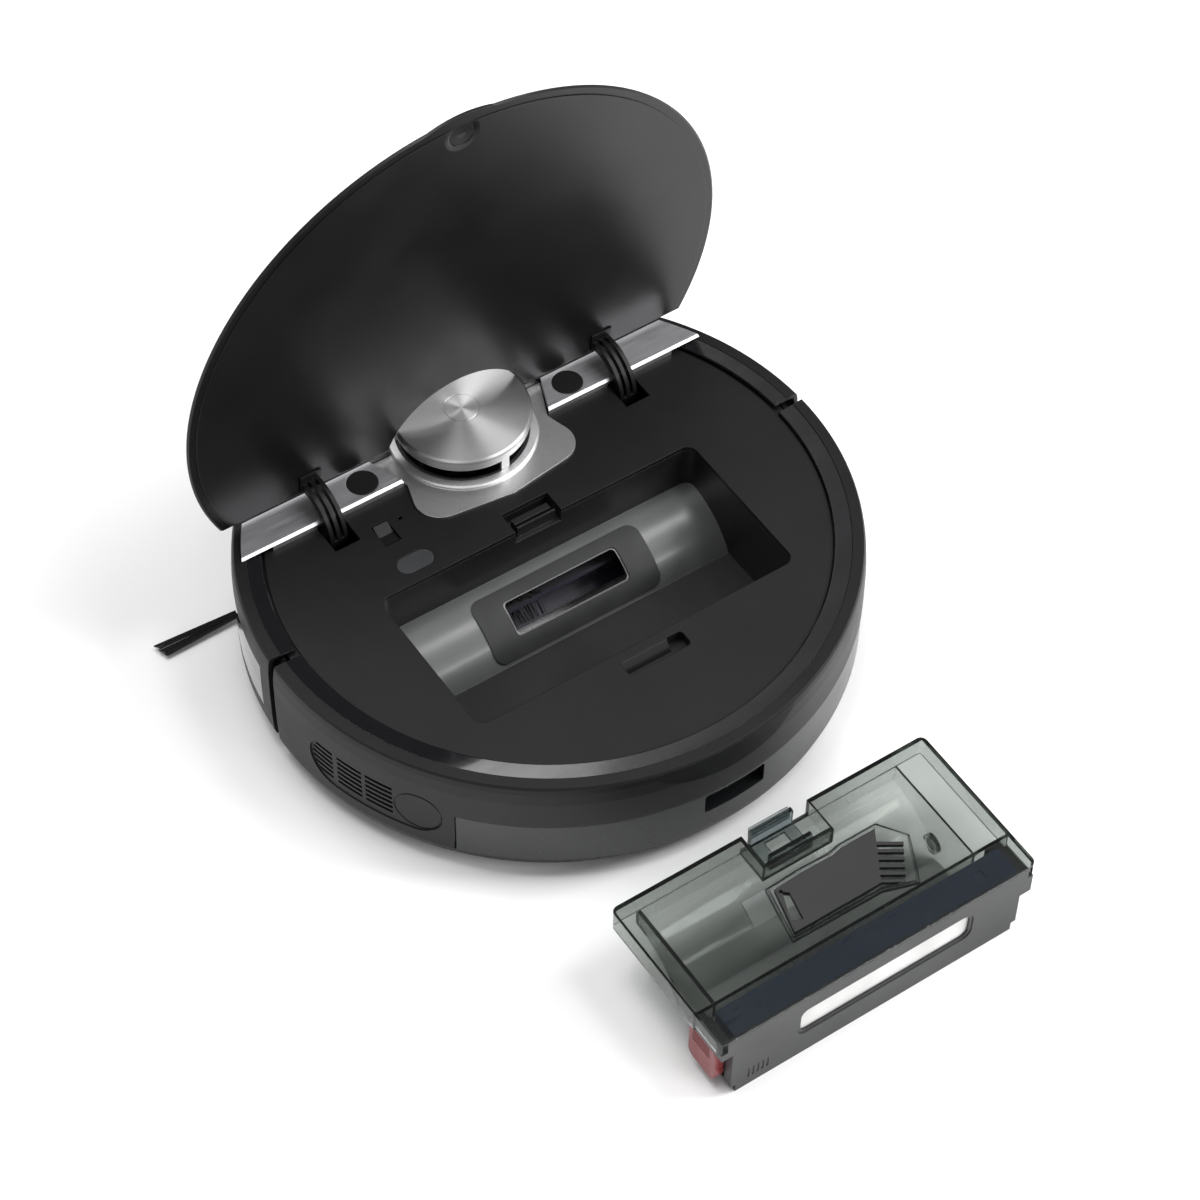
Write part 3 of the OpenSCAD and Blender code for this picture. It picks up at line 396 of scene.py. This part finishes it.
# three tufts of the side brush, fanned a little and drooping to the floor
SIDE_X, SIDE_Y = -0.116, 0.0965
SIDE_ROOT, SIDE_REACH = 0.0222, 0.0815
TUFTS, TUFT_STRANDS = 3, 90
side_strands = []
for tuft in range(TUFTS):
    ang = math.radians(177.9 + 360 / TUFTS * tuft)
    ca, sa = math.cos(ang), math.sin(ang)
    for i in range(TUFT_STRANDS):
        w = rng.uniform(-1, 1)
        bulge = rng.uniform(0, 1)
        reach = SIDE_REACH - 0.003 * (w + 1) / 2 - 0.002 * rng.random()
        root = (SIDE_ROOT, w * 0.0016, 0.0062 - 0.0018 * bulge)
        tip = (reach, w * 0.0052, 0.0040 - 0.0012 * bulge)
        ends = [(SIDE_X + x * ca - y * sa, SIDE_Y + x * sa + y * ca, z) for x, y, z in (root, tip)]
        side_strands.append((*ends, 0.00026, 0.00018))
strands("side_brush_strands", side_strands, "side_brush", M["bristle"], "side_brush_bristles")

# six rows of the main brush, bowed like its fins
MAIN_Y, MAIN_Z = 0.014, 0.0205
MAIN_ROOT_R, MAIN_TIP_R = 0.0075, 0.0185
MAIN_LENGTH = 0.141
ROWS, ROW_TUFTS = 6, 70
main_strands = []
for row in range(ROWS):
    for i in range(ROW_TUFTS):
        along = i / (ROW_TUFTS - 1)
        x = -MAIN_LENGTH / 2 + MAIN_LENGTH * along
        ang = math.radians(360 / ROWS * row + 30 + 18 * math.sin(math.pi * (along - 0.5)))
        for k in range(2):
            a = ang + rng.uniform(-0.05, 0.05)
            dy, dz = math.cos(a), math.sin(a)
            root_x = x + rng.uniform(-0.0006, 0.0006)
            tip_x = root_x + rng.uniform(-0.001, 0.001)
            main_strands.append(((root_x, MAIN_Y + MAIN_ROOT_R * dy, MAIN_Z + MAIN_ROOT_R * dz),
                                 (tip_x, MAIN_Y + MAIN_TIP_R * dy, MAIN_Z + MAIN_TIP_R * dz),
                                 0.0003, 0.0002))
strands("main_brush_strands", main_strands, "main_brush", M["bristle"])

# ---------------------------------------------------------- floor, light

FLOOR = 6
AMBIENT = 0.42

floor = bpy.data.meshes.new("floor")
floor.from_pydata([(-FLOOR, -FLOOR, 0), (FLOOR, -FLOOR, 0), (FLOOR, FLOOR, 0), (-FLOOR, FLOOR, 0)],
                  [], [(0, 1, 2, 3)])
floor_obj = bpy.data.objects.new("floor", floor)
bpy.context.scene.collection.objects.link(floor_obj)
floor_mat = Mat("floor_paper", (0.90, 0.90, 0.90), 0.6, spec=0.2)
floor_mat.mottle(3.0, 0.01)
floor.materials.append(floor_mat.m)

world = bpy.data.worlds.new("studio")
bpy.context.scene.world = world
world.use_nodes = True
world.node_tree.nodes["Background"].inputs["Color"].default_value = (1, 1, 1, 1)
world.node_tree.nodes["Background"].inputs["Strength"].default_value = AMBIENT


def area(name, spot, aim, size, power):
    """A rectangular softbox at spot, turned to aim; size in metres, power in watts."""
    data = bpy.data.lights.new(name, "AREA")
    data.shape = "RECTANGLE"
    data.size, data.size_y = size
    data.energy = power
    obj = bpy.data.objects.new(name, data)
    obj.location = spot
    obj.rotation_euler = (Vector(aim) - Vector(spot)).to_track_quat("-Z", "Y").to_euler()
    bpy.context.scene.collection.objects.link(obj)


# the key lights it all from above, top opens the fans on the turret, and back draws the bright
# band on the rear of the rim
area("key", (-0.35, 0.5, 2.5), (0, 0, 0.05), (1.3, 1.3), 38)
area("top", (0.8, -0.45, 2.1), (0, 0.08, 0.09), (0.5, 0.5), 9)
area("back", (1.87, 3.16, 4.5), (0.05, -0.16, 0.08), (0.4, 0.3), 1.7)
# the fill lights the right side, and front the wall that faces the camera
area("fill", (1.7, -0.9, 1.7), (0, 0, 0.05), (1.0, 0.8), 40)
area("front", (0.75, -1.75, 1.15), (0.0, -0.1, 0.05), (1.0, 0.5), 16)
